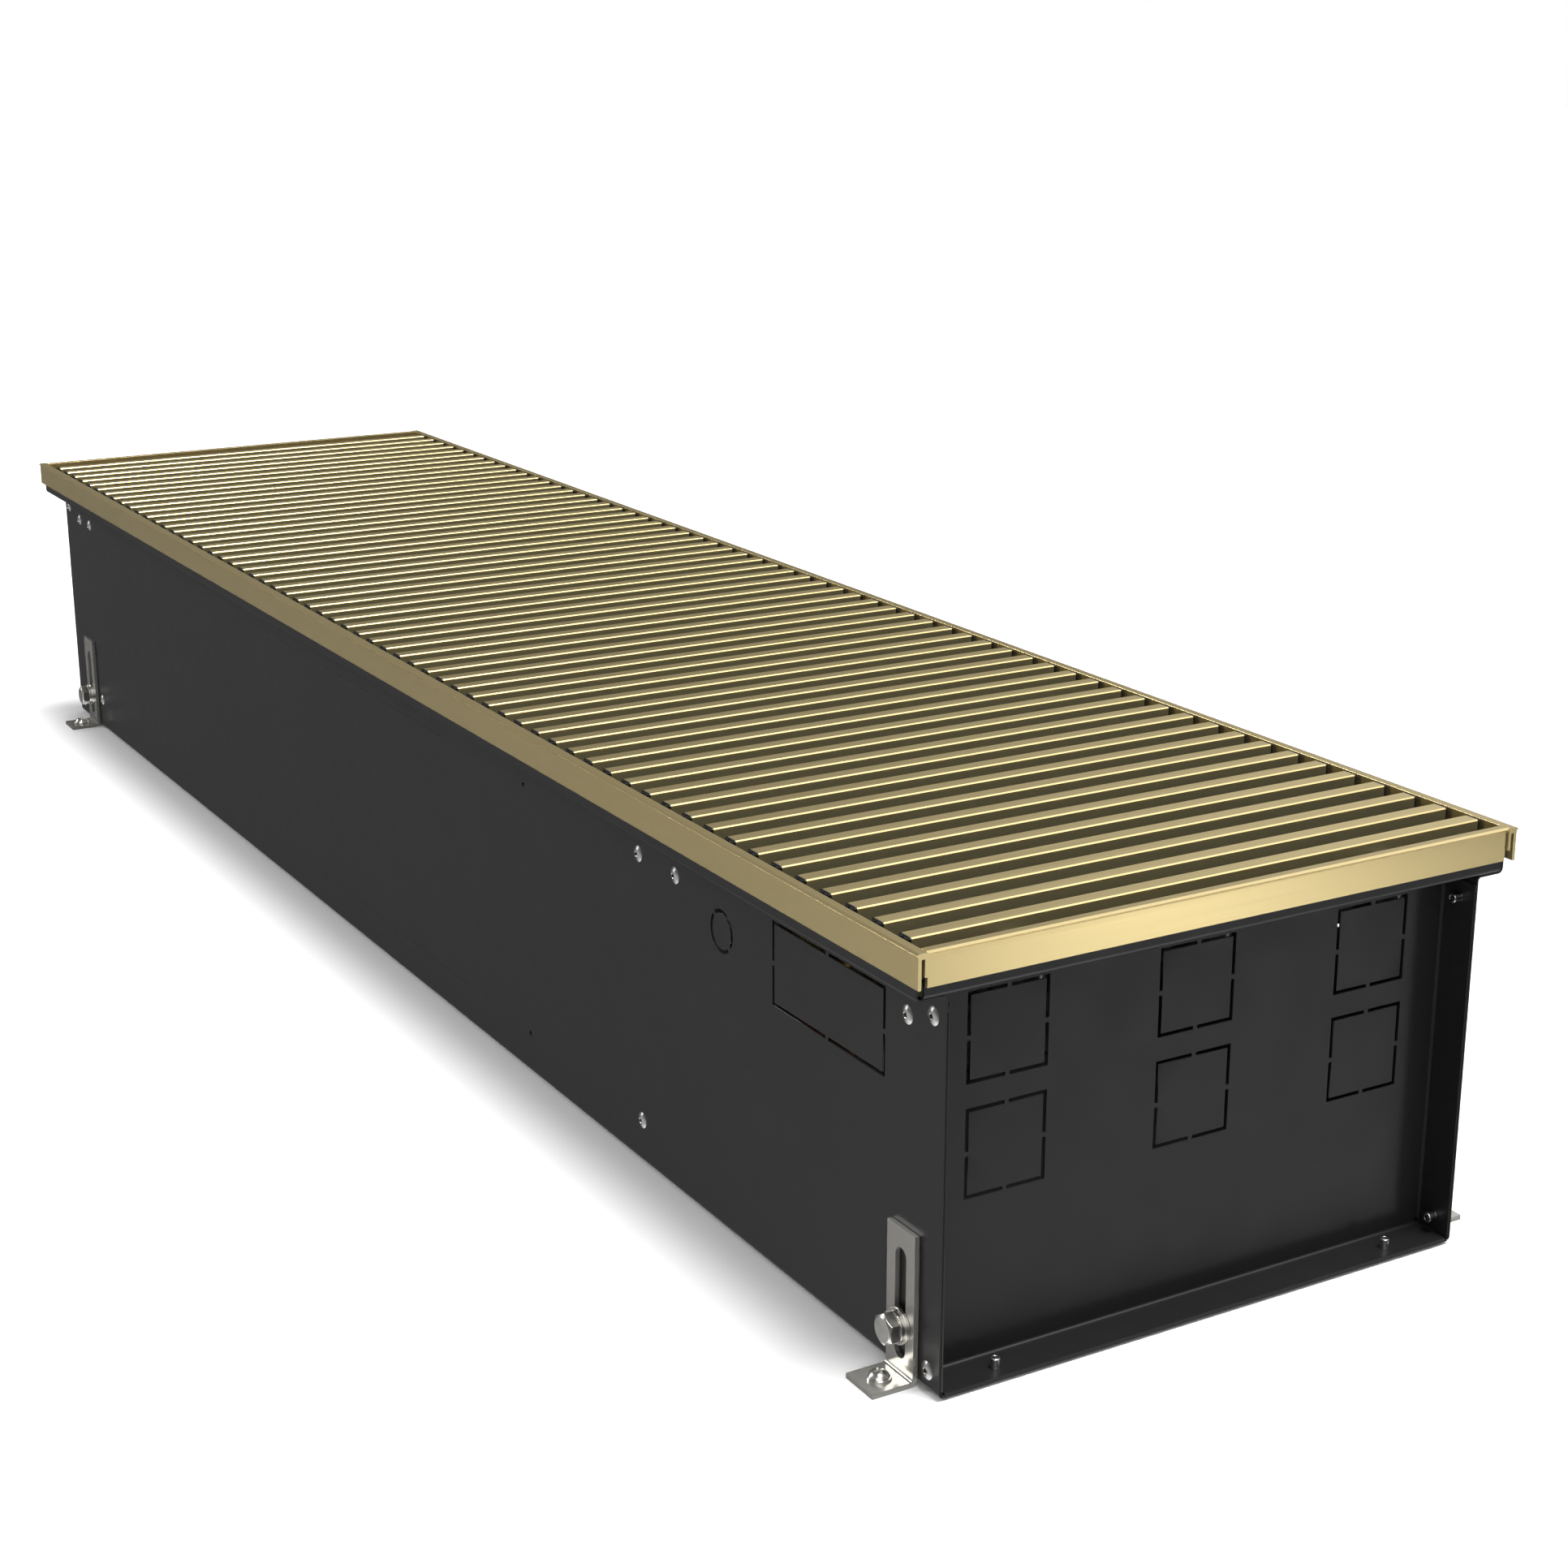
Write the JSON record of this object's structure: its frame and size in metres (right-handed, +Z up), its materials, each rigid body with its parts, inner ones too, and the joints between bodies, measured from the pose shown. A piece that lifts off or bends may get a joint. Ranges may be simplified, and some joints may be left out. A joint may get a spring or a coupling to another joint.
{
  "type": "trench convector heater",
  "caption": "Trench convector heater: bent steel trough with knock-outs, finned water coil, slotted levelling feet and a lift-off slatted grille in a brass-coloured frame.",
  "frame": {"origin": "on the floor, under the middle of the frame's length and width", "axes": "+X along the trough towards its valve end, +Y across it, +Z up; the floor is z = 0 under the feet"},
  "size_m": [1.259, 0.3298, 0.2025],
  "materials": {
    "casing_paint": "satin",
    "frame_anodised": "satin anodised",
    "slat_anodised": "satin anodised",
    "cap_plastic": "satin",
    "strip_rubber": "matt",
    "galvanised": "galvanised",
    "fin_aluminium": "mill",
    "copper": "drawn, slightly dull",
    "union_brass": "machined",
    "vent_nickel": "nickel plated",
    "rivet_steel": "bright",
    "zinc_hardware": "zinc plated",
    "foot_steel": "brushed"
  },
  "bodies": {
    "casing": {"trough": "casing_paint", "end_plate_valve": "casing_paint", "end_plate_blank": "casing_paint", "frame_side_left": "frame_anodised", "frame_side_right": "frame_anodised", "frame_end_valve": "frame_anodised", "frame_end_blank": "frame_anodised", "rest_strip_left": "strip_rubber", "rest_strip_right": "strip_rubber", "strut_valve": "galvanised", "strut_middle": "galvanised", "strut_blank": "galvanised", "bulkhead_valve": "galvanised", "bulkhead_blank": "galvanised", "coil_fins": "fin_aluminium", "coil_tubes": "copper", "return_bends_blank": "copper", "return_bends_valve": "copper", "union_supply": "union_brass", "union_return": "union_brass", "vent_body": "vent_nickel", "wall_rivets_left": "rivet_steel", "wall_rivets_right": "rivet_steel", "floor_rivets": "rivet_steel", "clinch_nuts": "rivet_steel", "foot_bolts": "zinc_hardware", "spring_washers": "zinc_hardware", "flat_washers": "zinc_hardware"},
    "grille": {"grille_slats": "slat_anodised", "end_caps_left": "cap_plastic", "end_caps_right": "cap_plastic", "link_cables": "zinc_hardware", "link_sleeves": "cap_plastic", "cable_stops": "zinc_hardware"},
    "vent_screw": {"vent_screw": "vent_nickel"},
    "foot_valve_left": {"foot_bracket_valve_left": "foot_steel", "foot_screw_valve_left": "zinc_hardware", "foot_washer_valve_left": "zinc_hardware"},
    "foot_valve_right": {"foot_bracket_valve_right": "foot_steel", "foot_screw_valve_right": "zinc_hardware", "foot_washer_valve_right": "zinc_hardware"},
    "foot_blank_left": {"foot_bracket_blank_left": "foot_steel", "foot_screw_blank_left": "zinc_hardware", "foot_washer_blank_left": "zinc_hardware"},
    "foot_blank_right": {"foot_bracket_blank_right": "foot_steel", "foot_screw_blank_right": "zinc_hardware", "foot_washer_blank_right": "zinc_hardware"}
  },
  "joints": [
    {"name": "grille_lift", "type": "slide", "parent": "casing", "child": "grille", "axis": [0, 0, 1], "range_m": [0, 0.12]},
    {"name": "vent_screw_turn", "type": "hinge", "parent": "casing", "child": "vent_screw", "pos_m": [0.381, -0.05, 0.1265], "axis": [0, 0, 1], "range_deg": [0, 360]},
    {"name": "foot_valve_left_slide", "type": "slide", "parent": "casing", "child": "foot_valve_left", "axis": [0, 0, -1], "range_m": [-0.006, 0.03]},
    {"name": "foot_valve_right_slide", "type": "slide", "parent": "casing", "child": "foot_valve_right", "axis": [0, 0, -1], "range_m": [-0.006, 0.03]},
    {"name": "foot_blank_left_slide", "type": "slide", "parent": "casing", "child": "foot_blank_left", "axis": [0, 0, -1], "range_m": [-0.006, 0.03]},
    {"name": "foot_blank_right_slide", "type": "slide", "parent": "casing", "child": "foot_blank_right", "axis": [0, 0, -1], "range_m": [-0.006, 0.03]}
  ]
}
